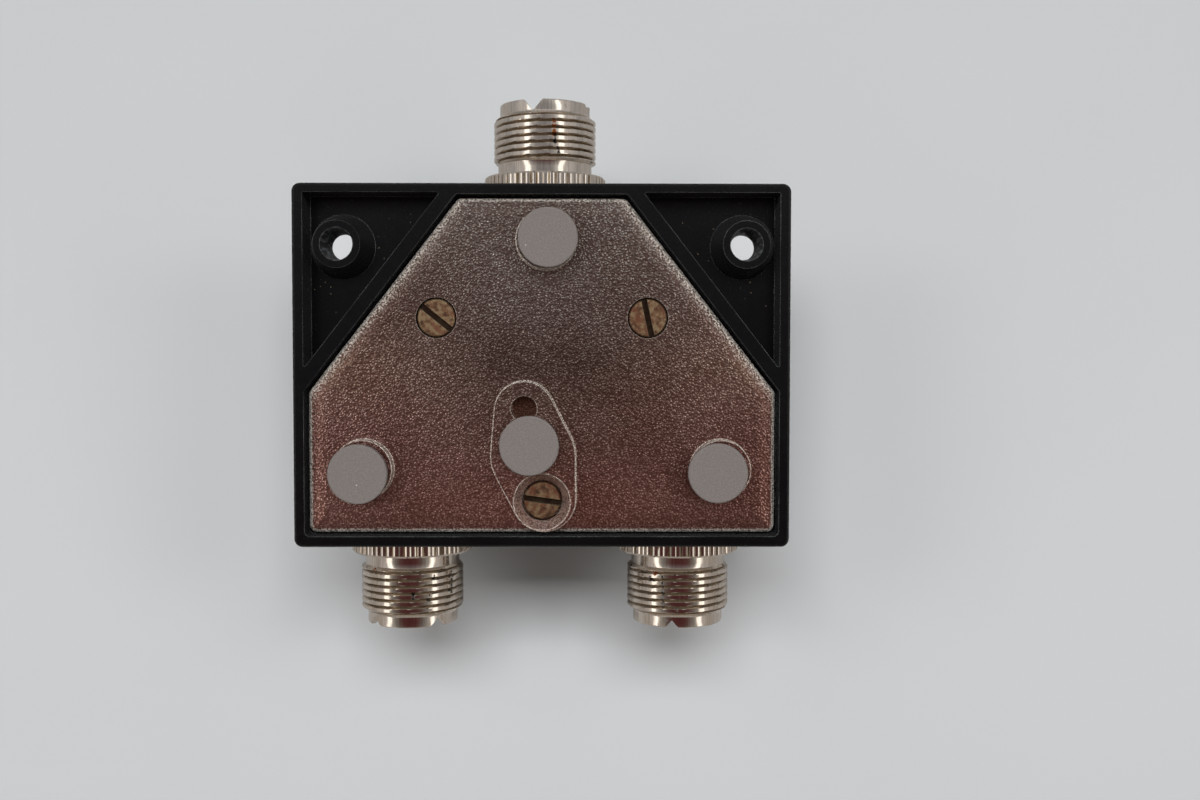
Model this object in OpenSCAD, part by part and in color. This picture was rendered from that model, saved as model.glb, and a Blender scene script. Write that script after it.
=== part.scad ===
// Two-way coaxial antenna switch: die-cast box, one common jack, two switched jacks,
// rotary selector with pointer knob. Millimetres, +Z toward the knob, feet at z = 0,
// +Y toward the common jack.

/* [Housing] */
// Width across the box, along X
body_w = 73; // [72:0.5:84]
// Depth of the box from jack wall to jack wall, along Y
body_d = 53.4; // [53:0.2:64]
// Height from the open rim at the back to the front face
body_h = 27; // [26.6:0.2:32]
// Radius of the upright corners of the box
corner_r = 1.2; // [0.8:0.1:1.4]
// How much the side walls lean in between rim and front face
draft = 0.45; // [0.2:0.05:0.8]
// Rounding of the front edges
edge_r = 1.4; // [0.6:0.1:2]
// Width of the rim around the back cover
rim_w = 1.6; // [1.4:0.1:2]
// Width of the ledge that the back cover sits on
ledge_w = 1.3; // [1:0.1:1.6]
// Thickness of the front wall
front_t = 2.4; // [2:0.1:3]
// Width of the slanted wall beside each corner pocket
slant_wall = 2; // [1.6:0.1:2.4]
// Radius of the corners of the two ear pockets
pocket_r = 0.2; // [0.1:0.1:0.8]
// Width of the rim beside the ear pockets, on the common jack's side
pocket_rim_w = 1.35; // [1.2:0.05:1.6]

/* [Mounting ears] */
// Height of the two corner ears, from the rim
ear_h = 7.2; // [6.8:0.1:9]
// Thickness of the floor left in each ear pocket
ear_floor = 1.55; // [1.4:0.05:2]
// Distance between the two mounting holes
hole_spacing = 60; // [59:0.5:60.5]
// Distance from the mounting holes to the common jack's side of the box
hole_in = 8.9; // [8.4:0.1:9.4]
// Diameter of the mounting holes
hole_d = 3.9; // [3.2:0.1:4.2]
// Diameter of the cored mouth of each mounting hole at the back
hole_mouth_d = 4.8; // [4.6:0.1:5.4]
// Length of the straight part of each mounting hole, from the ear's front
hole_land = 2.6; // [2:0.1:4]
// Diameter of each mounting boss at the rim
boss_top_d = 7; // [6.4:0.1:7.4]
// Diameter of each mounting boss at its base
boss_base_d = 9.8; // [9.2:0.1:10]

/* [Back cover] */
// Gap between the back cover and the rim
cover_gap = 0.5; // [0.3:0.05:0.6]
// How far the cover's face lies below the rim
cover_sunk = 1.2; // [0.8:0.1:1.6]
// Thickness of the cover
cover_t = 2.2; // [2:0.1:2.6]
// Width of the bright bevel around the cover
cover_bevel = 0.4; // [0.2:0.05:0.6]
// Width of the cover's straight upper edge
cover_top_w = 24.6; // [23:0.2:26]
// Place along Y where the cover's slanted edge meets its straight side
shoulder_y = -3.85; // [-5:0.05:-3]
// How far the cast bosses for the feet stand above the rim
boss_proud = 0.8; // [0.4:0.1:1.2]
// Distance from the two lower feet bosses to the sides of the box
side_boss_in = 10.2; // [9.6:0.1:11]
// Distance from the two lower feet bosses to the ports' side of the box
side_boss_up = 11.5; // [10.8:0.1:12.6]
// Radius of the raised island around the test hole
island_hole_r = 4.4; // [4:0.1:4.8]
// Radius of the raised island around the middle foot
island_foot_r = 6.25; // [6:0.05:6.5]
// Radius of the raised island around the lower screw
island_screw_r = 4.7; // [4.6:0.1:4.8]
// Diameter of the blind test hole in the island
test_hole_d = 3.8; // [3:0.1:4.2]
// Depth of the blind test hole
test_hole_depth = 2.6; // [1.5:0.1:3]

/* [Cover screws] */
// Diameter of the circle that the three screws lie on
screw_circle_d = 36; // [35.6:0.1:36.4]
// Diameter of each screw head
head_d = 5.6; // [5:0.1:5.8]
// Height of each screw head
head_h = 1.6; // [1.4:0.1:1.8]
// Width of the screwdriver slot
slot_w = 0.9; // [0.7:0.1:1.1]
// Depth of the screwdriver slot
slot_depth = 0.8; // [0.6:0.1:0.9]
// Diameter of each screw's shank
shank_d = 3; // [2.6:0.1:3.2]
// Length of each screw's shank under its head
shank_len = 8; // [6:0.5:10]
// Gap around each screw head
head_gap = 0.2; // [0.15:0.05:0.3]
// Diameter of the conical mouth over the lower screw
cone_mouth_d = 8.3; // [7.8:0.1:8.6]
// Diameter of the posts that take the screws
post_d = 7.2; // [6.4:0.2:7.4]

/* [Feet] */
// Diameter of the stick-on feet
foot_d = 8.8; // [8:0.1:9]
// Thickness of the stick-on feet
foot_t = 1.2; // [0.8:0.1:2]

/* [Jacks] */
// Distance from the rim plane to the jack axes
axis_drop = 14.25; // [13.8:0.05:14.6]
// Distance between the two switched jacks
port_spacing = 42; // [41:0.5:46]
// Outer diameter of the jack thread
thread_d = 15.875; // [15.4:0.005:16]
// Length of the threaded barrel
thread_len = 7.4; // [6:0.1:10]
// Diameter of the knurled flange
flange_d = 19; // [18:0.1:20]
// Thickness of the knurled flange
flange_t = 2.5; // [2:0.1:3]
// Number of knurl ridges around the flange
knurl_count = 60; // [40:1:72]
// Depth of the knurl
knurl_depth = 0.3; // [0.2:0.05:0.4]
// Diameter of the plain neck behind the thread
neck_d = 14.6; // [14:0.1:14.8]
// Length of the plain neck
neck_len = 1.9; // [1.5:0.1:2.5]
// Diameter of the plain collar at the mouth
collar_d = 14; // [13.6:0.1:14.4]
// Length of the plain collar
collar_len = 1.9; // [1.8:0.1:2.8]
// Depth of the four locating notches in the collar
notch_depth = 1.7; // [1:0.1:1.7]
// Width of each locating notch at the mouth
notch_w = 2.8; // [1.8:0.1:3]
// Inner diameter of the jack
jack_bore_d = 12; // [11:0.1:12.4]
// Diameter of the spigot that passes through the wall
spigot_d = 13.4; // [13.2:0.1:13.6]
// Width across flats of the nut inside the box
jack_nut_af = 16; // [15.5:0.5:17]
// Thickness of the nut inside the box
jack_nut_t = 2.4; // [2:0.1:3]
// How far the insulator lies inside the mouth
insulator_recess = 2; // [1:0.1:3]
// Diameter of the bore of the centre contact
pin_bore_d = 4; // [3.8:0.05:4.2]
// Depth of the bore of the centre contact
pin_bore_len = 10; // [8:0.5:11]
// Outer diameter of the centre contact
pin_outer_d = 6; // [5.4:0.1:6.4]
// Width of the four slots in the centre contact
pin_slot_w = 0.5; // [0.3:0.1:0.6]
// Length of the four slots in the centre contact
pin_slot_len = 4.5; // [3:0.5:6]

/* [Selector] */
// Place of the shaft axis along Y
shaft_y = -1.9; // [-2.1:0.1:-1.7]
// Diameter of the shaft
shaft_d = 6; // [5.6:0.1:6.2]
// Angle between the two positions of the selector
throw_angle = 90; // [80:1:95]
// Diameter of the insulating rotor disc
rotor_d = 22; // [20:0.5:23]
// Thickness of the insulating rotor disc
rotor_t = 2; // [1.5:0.1:2.2]
// Thickness of the contact metal
strip_t = 0.6; // [0.4:0.1:0.7]
// Width of the contact metal
strip_w = 5; // [4:0.2:5.4]
// How far the rotor arms reach past the insulating disc
arm_over = 2.4; // [2:0.1:2.6]
// Diameter of the index plate
index_d = 18; // [16:0.5:18.5]
// Thickness of the index plate
index_t = 2; // [1.5:0.1:2.2]
// Diameter of the detent ball
ball_d = 3; // [2.4:0.1:3.2]
// Diameter of each stop pin
stop_pin_d = 2; // [1.6:0.1:2.2]
// Diameter of the threaded bush that carries the shaft
bush_d = 10; // [9:0.2:10.4]
// How far the bush stands out of the front face
bush_out = 2.4; // [2:0.1:3]
// Gap between metal parts that slide on each other
slide_gap = 0.05; // [0.03:0.01:0.08]

/* [Knob] */
// Diameter of the knob's skirt
knob_d = 26; // [24:0.5:32]
// Height of the knob's skirt
skirt_h = 3.6; // [3:0.2:5]
// Height of the whole knob
knob_h = 14.4; // [13:0.2:18]
// Width of the knob's finger grip at its top
grip_w = 10; // [9.6:0.2:12]
// Gap between the knob and the front face
knob_gap = 0.6; // [0.4:0.1:1]
// Width of the pointer line
pointer_w = 1.2; // [0.8:0.1:1.6]

/* [Hidden] */
$fn = 48;
cut = 0.5;
least_r = 0.25;
seat_gap = 0.03;
screw_angles = [30, 150, 270];
screw_turns = [39, 78, 8];
jack_turns = [13.4, -10.8, 41];
rim_z = foot_t + boss_proud;
cover_z = rim_z + cover_sunk;
cover_in_z = cover_z + cover_t;
axis_z = rim_z + axis_drop;
ear_z = rim_z + ear_h;
pocket_z = ear_z - ear_floor;
front_z = rim_z + body_h;
cavity_z = front_z - front_t;
hole_y = body_d / 2 - hole_in;
side_boss_x = body_w / 2 - side_boss_in;
side_boss_y = side_boss_up - body_d / 2;
side_foot_shift = [[0.55, -0.4], [0.5, -0.55]];

// Outlines: each is a convex polygon, counter-clockwise seen from the front
slant = [body_w / 2 - rim_w - cover_gap - cover_top_w / 2,
         shoulder_y - (body_d / 2 - rim_w - cover_gap)];
slant_n = [-slant[1], slant[0]] / norm(slant);
recess_x = body_w / 2 - rim_w;
recess_y = body_d / 2 - rim_w;
recess_n = slant_n * [cover_top_w / 2, recess_y - cover_gap] + cover_gap;
pocket_n = recess_n + slant_wall;
step = 0.15;

function house(x, y, n) = [
    [(n - slant_n[1] * y) / slant_n[0], y],
    [-(n - slant_n[1] * y) / slant_n[0], y],
    [-x, (n - slant_n[0] * x) / slant_n[1]],
    [-x, -y],
    [x, -y],
    [x, (n - slant_n[0] * x) / slant_n[1]]];
box_outline = [[body_w, body_d], [-body_w, body_d], [-body_w, -body_d], [body_w, -body_d]] / 2;
tower_outline = house(body_w / 2 - step, body_d / 2 - step, pocket_n + 0.3);
recess_outline = house(recess_x, recess_y, recess_n);
cavity_outline = inset(recess_outline, ledge_w);
cover_outline = inset(recess_outline, cover_gap);

// Selector stack, from the contact plane toward the front
strap_z = axis_z;
live_z = strap_z + strip_t + slide_gap;
rotor_z = live_z + strip_t;
hub_z = rotor_z + rotor_t;
hub_h = 1;
hub_wall = 1.7;
ground_z = hub_z + hub_h;
spacer_h = 0.9;
index_z = ground_z + strip_t + spacer_h;
clip_z = index_z + index_t + seat_gap;
clip_t = 0.6;
washer_z = clip_z + clip_t + slide_gap;
flange_in_t = 1.4;
bush_z = cavity_z - flange_in_t;
washer_t = bush_z - slide_gap - washer_z;
ring_in = 5;
ring_out = 7.6;
arm_reach = rotor_d / 2 + arm_over;
contact_r = arm_reach - 1.4;
detent_r = index_d / 2;
ball_y = shaft_y + detent_r + slide_gap + ball_d / 2;
ball_z = index_z + index_t / 2;
ball_gap = 0.1;
well_d = ball_d + 2 * ball_gap;
well_wall = 1.2;
well_y = ball_y - ball_d / 4;
tab_half = 9;
stop_r = detent_r + 1.6;
stop_half = asin(stop_pin_d / 2 / stop_r) + 0.5;
knob_z = front_z + knob_gap;
knob_top = knob_z + knob_h;
shaft_top = knob_top - 3;
rest_angle = -90 - throw_angle / 2;
wall_in = body_d / 2 - recess_y + ledge_w;
tag_len = 4.2;
collar_t = 0.8;
tag_ring_t = 0.6;
jack_in = wall_in + jack_nut_t + 1.2;
jack_back = jack_in + collar_t + tag_ring_t;
well_len = body_d / 2 - jack_back - 0.1 - well_wall - well_y;

// Helpers

function unit(v) = v / norm(v);
function corner_dir(pts, i) = let (n = len(pts), p = pts[i])
    unit(unit(pts[(i + n - 1) % n] - p) + unit(pts[(i + 1) % n] - p));
function half_angle(pts, i) = let (n = len(pts), p = pts[i],
    c = unit(pts[(i + n - 1) % n] - p) * unit(pts[(i + 1) % n] - p)) acos(c) / 2;

// Convex outline moved inward by d
function inset(pts, d) = [for (i = [0:len(pts) - 1])
    pts[i] + corner_dir(pts, i) * d / sin(half_angle(pts, i))];

// Convex outline with each corner rounded to radius r
function rounded(pts, r, steps = 5) = [for (i = [0:len(pts) - 1])
    let (h = half_angle(pts, i), d = corner_dir(pts, i), c = pts[i] + d * r / sin(h),
         a = atan2(-d[1], -d[0]), w = 90 - h)
    for (k = [0:steps]) c + r * [cos(a - w + 2 * w * k / steps), sin(a - w + 2 * w * k / steps)]];

// Solid through rounded outlines, each [inset, height]
module loft(pts, r, levels) {
    rings = [for (l = levels)
        [for (p = rounded(inset(pts, l[0]), max(r - l[0], least_r))) [p[0], p[1], l[1]]]];
    n = len(rings[0]);
    m = len(rings);
    polyhedron(
        points = [for (ring = rings) each ring],
        faces = concat(
            [[for (i = [0:n - 1]) i]],
            [for (k = [0:m - 2], i = [0:n - 1])
                let (a = k * n + i, b = k * n + (i + 1) % n) each [[a, a + n, b + n], [a, b + n, b]]],
            [[for (i = [n - 1:-1:0]) (m - 1) * n + i]]));
}

module prism(pts, r, z0, z1) {
    translate([0, 0, z0]) linear_extrude(z1 - z0) polygon(rounded(pts, r));
}

module disc(d, z0, z1) {
    translate([0, 0, z0]) cylinder(d = d, h = z1 - z0);
}

module on_shaft() {
    translate([0, shaft_y, 0]) children();
}

module turned(angle) {
    on_shaft() rotate([0, 0, angle]) children();
}

function screw_place(i) = [screw_circle_d / 2 * cos(screw_angles[i]),
                           shaft_y + screw_circle_d / 2 * sin(screw_angles[i])];

// Two round ends joined by their outer tangents
module link(c1, r1, c2, r2) {
    axis = c2 - c1;
    along = atan2(axis[1], axis[0]);
    lean = acos((r1 - r2) / norm(axis));
    ends = [for (s = [lean, -lean]) [cos(along + s), sin(along + s)]];
    translate(c1) circle(r1);
    translate(c2) circle(r2);
    polygon([c1 + r1 * ends[1], c2 + r2 * ends[1], c2 + r2 * ends[0], c1 + r1 * ends[0]]);
}

// Housing

// Points of the rim's outer edge: inset from the box's side, height
rim_profile = [[0.35, rim_z], [0.1, rim_z + 0.12], [0, rim_z + 0.4]];
ear_edge = 0.5;

function edge_steps(inset0, z0, r) = [for (a = [0:22.5:90]) [inset0 + r * (1 - cos(a)), z0 + r * sin(a)]];

module mounting_boss() {
    translate([0, 0, rim_z])
        cylinder(d1 = boss_top_d, d2 = boss_base_d, h = pocket_z - rim_z + 0.3);
}

module ear_pocket(side) {
    low = (pocket_n - slant_n[0] * recess_x) / slant_n[1];
    top = body_d / 2 - pocket_rim_w;
    far = (pocket_n - slant_n[1] * top) / slant_n[0];
    corners = [[recess_x, top], [far, top], [recess_x, low]];
    mirror([side > 0 ? 0 : 1, 0, 0]) difference() {
        prism(corners, pocket_r, rim_z - cut, pocket_z);
        translate([hole_spacing / 2, hole_y, 0]) mounting_boss();
    }
}

module mounting_hole() {
    disc(hole_d, rim_z - cut, ear_z + cut);
    translate([0, 0, rim_z - 0.01])
        cylinder(d1 = hole_mouth_d, d2 = hole_d, h = ear_h - hole_land);
}

module detent_block() {
    half = well_d / 2 + well_wall;
    translate([-half, well_y, ball_z - half])
        cube([2 * half, well_len + well_wall, cavity_z + cut - ball_z + half]);
}

module screw_posts() {
    rib_t = 2.4;
    rib_root = wall_in / 2 - body_d / 2;
    for (i = [0:2]) translate(screw_place(i)) disc(post_d, post_z, cavity_z + cut);
    translate([-rib_t / 2, rib_root, post_z + rib_t])
        cube([rib_t, screw_place(2)[1] - rib_root, cavity_z + cut - post_z - rib_t]);
}

module housing() {
    color("#17181b") difference() {
        union() {
            difference() {
                union() {
                    loft(box_outline, corner_r, concat(
                        rim_profile, edge_steps(0.1, ear_z - ear_edge, ear_edge)));
                    loft(tower_outline, corner_r + 1.6, concat(
                        [[0, cover_in_z]], edge_steps(draft, front_z - edge_r, edge_r)));
                    for (i = [0:2]) at_jack(i) disc(flange_d + 2 * seat_rim, -wall_in / 2, 0);
                }
                prism(recess_outline, 0.8, rim_z - cut, cover_in_z);
                prism(cavity_outline, 2.4, cover_in_z - cut, cavity_z);
                for (side = [-1, 1]) ear_pocket(side);
            }
            screw_posts();
            detent_block();
        }
        for (side = [-1, 1]) translate([side * hole_spacing / 2, hole_y, 0]) mounting_hole();
        for (i = [0:2]) at_jack(i) disc(spigot_d + 2 * seat_gap, -wall_in - cut, cut);
        for (i = [0:2]) translate(screw_place(i))
            disc(shank_d, post_z - cut, seat_z + shank_len + tap_over);
        on_shaft() disc(bush_d + 2 * seat_gap, cavity_z - cut, front_z + cut);
        translate([0, well_y - cut, ball_z]) rotate([-90, 0, 0]) cylinder(d = well_d, h = well_len + cut);
        for (a = stop_angles) turned(a) translate([stop_r, 0, 0])
            disc(stop_pin_d, cavity_z - cut, cavity_z + stop_in);
    }
}

// Back cover

seat_z = cover_z + head_h;
post_z = seat_z + 1.2;
post_rim = 0.7;
tap_over = 1;
seat_rim = 0.4;
cone_z = rim_z - boss_proud;
test_hole = screw_place(2) + [2.6, 13.63];
island_hole = test_hole + [0, -0.33];
island_foot = screw_place(2) + [1.3, 6.7];
island_end = screw_place(2) + [-0.3, 0.3];
middle_foot = screw_place(2) + [1.82, 8.3];
upper_foot = [-0.93, hole_y + 0.87];
upper_boss = [-0.6, hole_y + 0.7];

// Angles of the outer tangents from one round end to the next
function tangents(c1, r1, c2, r2) = let (axis = c2 - c1, along = atan2(axis[1], axis[0]),
    lean = acos((r1 - r2) / norm(axis))) [along + lean, along - lean];
function arc(c, r, a0, a1, steps) = [for (k = [0:steps])
    c + r * [cos(a0 + (a1 - a0) * k / steps), sin(a0 + (a1 - a0) * k / steps)]];
upper_turn = tangents(island_hole, island_hole_r, island_foot, island_foot_r);
lower_turn = tangents(island_foot, island_foot_r, island_end, island_screw_r);
island_outline = concat(
    arc(island_hole, island_hole_r, upper_turn[0], upper_turn[1] + 360, 24),
    arc(island_foot, island_foot_r, upper_turn[1] + 360, lower_turn[1] + 360, 5),
    arc(island_end, island_screw_r, lower_turn[1] + 360, lower_turn[0] + 360, 24),
    arc(island_foot, island_foot_r, lower_turn[0] + 360, upper_turn[0] + 360, 5));

module screw_well(i) {
    head_r = head_d / 2 + head_gap;
    shank_r = shank_d / 2 + head_gap;
    cone_r = i == 2 ? cone_mouth_d / 2 : head_r;
    flare = (cone_r - head_r) / (cover_z - cone_z);
    translate(screw_place(i)) rotate_extrude() polygon([
        [0, cone_z - cut], [cone_r + flare * cut, cone_z - cut], [head_r, cover_z], [head_r, seat_z],
        [shank_r, seat_z], [shank_r, post_z + cut], [0, post_z + cut]]);
}

module back_cover() {
    color("#857a70") difference() {
        union() {
            loft(cover_outline, 1, [[cover_bevel, cover_z], [0, cover_z + cover_bevel], [0, cover_in_z]]);
            translate([0, 0, cone_z]) linear_extrude(cover_z + cut - cone_z) polygon(island_outline);
            for (place = [[-side_boss_x, side_boss_y], [side_boss_x, side_boss_y], upper_boss])
                translate(place) disc(foot_d, cone_z, cover_z + cut);
            intersection() {
                prism(inset(cavity_outline, cover_gap), 2, cover_in_z - cut, post_z);
                for (i = [0:2]) translate(screw_place(i))
                    disc(post_d + 2 * post_rim, cover_in_z - cut, post_z - seat_gap);
            }
        }
        for (i = [0:2]) screw_well(i);
        translate(test_hole) disc(test_hole_d, cone_z - cut, cone_z + test_hole_depth);
    }
}

head_edge = 0.25;
foot_edge = 0.2;

module cover_screw(i) {
    color("#7d6a4c") translate(screw_place(i)) difference() {
        union() {
            translate([0, 0, cover_z]) cylinder(d1 = head_d - 2 * head_edge, d2 = head_d, h = head_edge);
            disc(head_d, cover_z + head_edge, seat_z);
            disc(shank_d, seat_z - 0.1, seat_z + shank_len);
        }
        rotate([0, 0, screw_turns[i]])
            translate([-head_d, -slot_w / 2, cover_z - cut]) cube([2 * head_d, slot_w, slot_depth + cut]);
    }
}

module foot(place) {
    color("#86807b") translate(place) {
        cylinder(d1 = foot_d - 2 * foot_edge, d2 = foot_d, h = foot_edge);
        disc(foot_d, foot_edge, foot_t);
    }
}

// Jacks: index 0 is common, 1 and 2 are the switched ports

function jack_x(i) = i == 0 ? 0 : (i == 1 ? -1 : 1) * port_spacing / 2;

// Local +Z points out of the box, z = 0 on the outer wall
module at_jack(i) {
    way = i == 0 ? 1 : -1;
    translate([jack_x(i), way * body_d / 2, axis_z]) rotate([-way * 90, 0, 0])
        rotate([0, 0, i == 0 ? 0 : 180]) children();
}

neck_end = flange_t + neck_len;
thread_end = neck_end + thread_len;
mouth = thread_end + collar_len;
insulator_front = mouth - insulator_recess;
contact_front = insulator_front + 0.6;
mouth_edge = 0.35;
tag_inset = 0.5;

module knurled_flange() {
    linear_extrude(flange_t) polygon([for (k = [0:knurl_count * 4 - 1])
        let (a = k * 90 / knurl_count, r = flange_d / 2 - (k % 4 < 2 ? 0 : knurl_depth))
        r * [cos(a), sin(a)]]);
}

module jack_notch() {
    rotate([90, 0, 0]) linear_extrude(collar_d) polygon([[0, mouth - notch_depth],
        [notch_w / 2, mouth + 0.01], [-notch_w / 2, mouth + 0.01]]);
}

module jack_shell(i) {
    color("#b9b2a8") at_jack(i) difference() {
        union() {
            knurled_flange();
            disc(neck_d, flange_t - cut, neck_end + cut);
            disc(thread_d, neck_end, thread_end);
            disc(collar_d, thread_end - cut, mouth - mouth_edge);
            translate([0, 0, mouth - mouth_edge])
                cylinder(d1 = collar_d, d2 = collar_d - 2 * mouth_edge, h = mouth_edge);
            disc(spigot_d, -jack_in, cut);
        }
        disc(jack_bore_d, -jack_in - cut, mouth + cut);
        for (q = [0:3]) rotate([0, 0, 180 - jack_turns[i] + 90 * q]) jack_notch();
    }
}

module jack_insulator(i) {
    color("#e4ddcd") at_jack(i) difference() {
        union() {
            disc(jack_bore_d - 2 * seat_gap, -jack_in, insulator_front);
            disc(spigot_d, -jack_in - collar_t, -jack_in);
        }
        disc(pin_outer_d + 2 * seat_gap, -jack_back, insulator_front + cut);
    }
}

module jack_contact(i) {
    color("#c9b37a") at_jack(i) difference() {
        union() {
            disc(pin_outer_d, -jack_in - collar_t, contact_front);
            disc(pin_outer_d + 2 * tag_ring_t, -jack_back, -jack_in - collar_t);
            translate([-strip_w / 2 + tag_inset, 0, -jack_back + tag_root - tag_len])
                cube([strip_w - 2 * tag_inset, strip_t, tag_len]);
        }
        disc(pin_bore_d, contact_front - pin_bore_len, contact_front + cut);
        for (q = [0, 90]) rotate([0, 0, q + 45])
            translate([-pin_outer_d, -pin_slot_w / 2, contact_front - pin_slot_len])
                cube([2 * pin_outer_d, pin_slot_w, pin_slot_len + cut]);
    }
}

module jack_nut(i) {
    color("#b4ada2") at_jack(i) translate([0, 0, -wall_in - seat_gap - jack_nut_t]) difference() {
        cylinder(d = jack_nut_af / cos(30), h = jack_nut_t, $fn = 6);
        disc(spigot_d + 2 * seat_gap, -cut, jack_nut_t + cut);
    }
}

// Fixed contacts

tag_root = 0.2;
tip_r = 1.9;
tag_y = body_d / 2 - jack_back + tag_root - tag_len;
ring_clear = 0.1;

module common_strap() {
    start = shaft_y + ring_in + ring_clear;
    color("#c2ab74") translate([-strip_w / 2, start, strap_z])
        cube([strip_w, tag_y + tag_len - tag_root - ring_clear - start, strip_t]);
}

module port_fixed_contact(i) {
    side = i == 1 ? -1 : 1;
    tip = [0, shaft_y] + contact_r * [side * sin(throw_angle / 2), -cos(throw_angle / 2)];
    root = [jack_x(i), -tag_y - strip_w / 3];
    color("#c2ab74") translate([0, 0, strap_z]) linear_extrude(strip_t) {
        link(tip, tip_r, root, strip_w / 2 - tag_inset);
        translate([root[0] - strip_w / 2 + tag_inset, root[1] - tag_len + tip_r])
            square([strip_w - 2 * tag_inset, tag_len - tip_r]);
    }
}

// Selector

bush_rim = 2;
nut_t = bush_out - 0.4;
clip_rim = 2.5;
clip_ear_d = 1.4;
washer_rim = 3;

module shaft_bush() {
    color("#c6a553") on_shaft() difference() {
        union() {
            disc(bush_d, bush_z, front_z + bush_out);
            disc(bush_d + 2 * bush_rim, bush_z, cavity_z - seat_gap);
        }
        disc(shaft_d + 2 * slide_gap, bush_z - cut, front_z + bush_out + cut);
    }
}

module bush_nut() {
    color("#b4ada2") on_shaft() translate([0, 0, front_z + seat_gap]) difference() {
        cylinder(d = (bush_d + 2 * bush_rim) / cos(30), h = nut_t, $fn = 6);
        disc(bush_d + 2 * seat_gap, -cut, bush_out + cut);
    }
}

module shaft() {
    color("#b7b5b1") on_shaft() difference() {
        disc(shaft_d, live_z, shaft_top);
        translate([0, 0, clip_z]) difference() {
            disc(shaft_d + 2, 0, clip_t);
            disc(shaft_d - 2 * groove, -cut, clip_t + cut);
        }
        disc(rotor_screw_d, live_z - cut, live_z + rotor_screw_len + cut);
        rotate([0, 0, rest_angle]) translate([-shaft_d, -flat_y - shaft_d, front_z + bush_out + 1])
            cube([2 * shaft_d, shaft_d, shaft_top]);
    }
}

module shaft_clip() {
    color("#3b3a38") turned(rest_angle) difference() {
        disc(shaft_d + 2 * clip_rim, clip_z, clip_z + clip_t - seat_gap);
        disc(shaft_d - 2 * groove + 2 * seat_gap, clip_z - cut, clip_z + clip_t + cut);
        translate([0, -shaft_d * 0.35, clip_z - cut]) cube([shaft_d, shaft_d * 0.7, clip_t + 2 * cut]);
        for (side = [-1, 1]) translate([-groove, side * (shaft_d / 2 + groove), 0])
            disc(clip_ear_d, clip_z - cut, clip_z + clip_t + cut);
    }
}

module thrust_washer() {
    color("#a8a49d") on_shaft() difference() {
        disc(shaft_d + 2 * washer_rim, washer_z, washer_z + washer_t);
        disc(shaft_d + 4 * slide_gap, washer_z - cut, washer_z + washer_t + cut);
    }
}

module index_plate() {
    color("#8f8a82") turned(rest_angle) difference() {
        union() {
            disc(index_d, index_z, index_z + index_t);
            disc(shaft_d + 2 * clip_rim, index_z - spacer_h, index_z + cut);
            rotate([0, 0, tab_angle - rest_angle]) translate([0, 0, index_z]) linear_extrude(index_t)
                polygon([[0, 0], for (a = [-tab_half, tab_half]) (stop_r + tab_over) * [cos(a), sin(a)]]);
        }
        disc(shaft_d + 2 * seat_gap, index_z - spacer_h - cut, index_z + index_t + cut);
        for (a = [90, 90 - throw_angle]) rotate([0, 0, a - rest_angle])
            translate([detent_r + ball_d / 4, 0, 0])
                disc(ball_d + ball_gap, index_z - cut, index_z + index_t + cut);
    }
}

groove = 0.6;
tab_over = 1.4;
pin_hang = 0.4;
tab_angle = -90;
stop_angles = [tab_angle - tab_half - stop_half, tab_angle + throw_angle + tab_half + stop_half];
stop_in = 1.2;

module stop_pins() {
    color("#9c9a96") for (a = stop_angles) turned(a) translate([stop_r, 0, 0])
        disc(stop_pin_d, index_z - pin_hang, cavity_z + stop_in);
}

module detent_ball() {
    color("#c9c9c9") translate([0, ball_y, ball_z]) sphere(d = ball_d);
}

spring_wire = 0.4;
spring_turns = 7;
spring_r = well_d / 2 - spring_wire / 2 - ball_gap;
spring_y0 = ball_y + ball_d / 2 + seat_gap;
spring_y1 = well_y + well_len - seat_gap;

// Helix of round wire, its turns worked out from the space behind the ball
module detent_spring() {
    sides = 6;
    per_turn = 14;
    last = spring_turns * per_turn;
    rise = (spring_y1 - spring_y0 - spring_wire) / last;
    pts = [for (k = [0:last], s = [0:sides - 1])
        let (a = k * 360 / per_turn, b = s * 360 / sides, r = spring_r + spring_wire / 2 * cos(b),
             y = spring_y0 + k * rise + spring_wire / 2 * (1 + sin(b)))
        [r * cos(a), y, ball_z + r * sin(a)]];
    color("#8d8b86") polyhedron(points = pts, faces = concat(
        [[for (s = [0:sides - 1]) s]],
        [for (k = [0:last - 1], s = [0:sides - 1])
            let (a = k * sides + s, b = k * sides + (s + 1) % sides)
            each [[a, a + sides, b + sides], [a, b + sides, b]]],
        [[for (s = [sides - 1:-1:0]) last * sides + s]]));
}

module rotor_disc() {
    color("#6e4a2c") turned(rest_angle) difference() {
        union() {
            disc(rotor_d, rotor_z, hub_z);
            disc(hub_d, hub_z - cut, ground_z);
        }
        disc(shaft_d + 2 * seat_gap, rotor_z - cut, ground_z + cut);
        for (x = rivet_places) translate([x, 0, 0]) disc(rivet_d, rotor_z - cut, hub_z + cut);
    }
}

arm_taper = 0.6;
arm_w = strip_w - 2 * arm_taper;
rotor_screw_d = 2.6;
rivet_d = 1.6;
rivet_head_d = 2.6;
rivet_head_t = 0.5;
rotor_screw_len = 4.6;
rotor_screw_turn = 25;
rotor_head_t = 1.35;
hub_d = shaft_d + 2 * hub_wall;
rivet_places = [-(ring_in + ring_out) / 2, rotor_d / 2 - rivet_head_d];

module live_arm() {
    color("#cdb67c") turned(rest_angle) translate([0, 0, live_z]) linear_extrude(strip_t) difference() {
        union() {
            circle(ring_out);
            link([0, 0], strip_w / 2, [arm_reach - strip_w / 2 + arm_taper, 0], strip_w / 2 - arm_taper);
        }
        circle(ring_in);
        for (x = rivet_places) translate([x, 0]) circle(d = rivet_d);
    }
}

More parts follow.
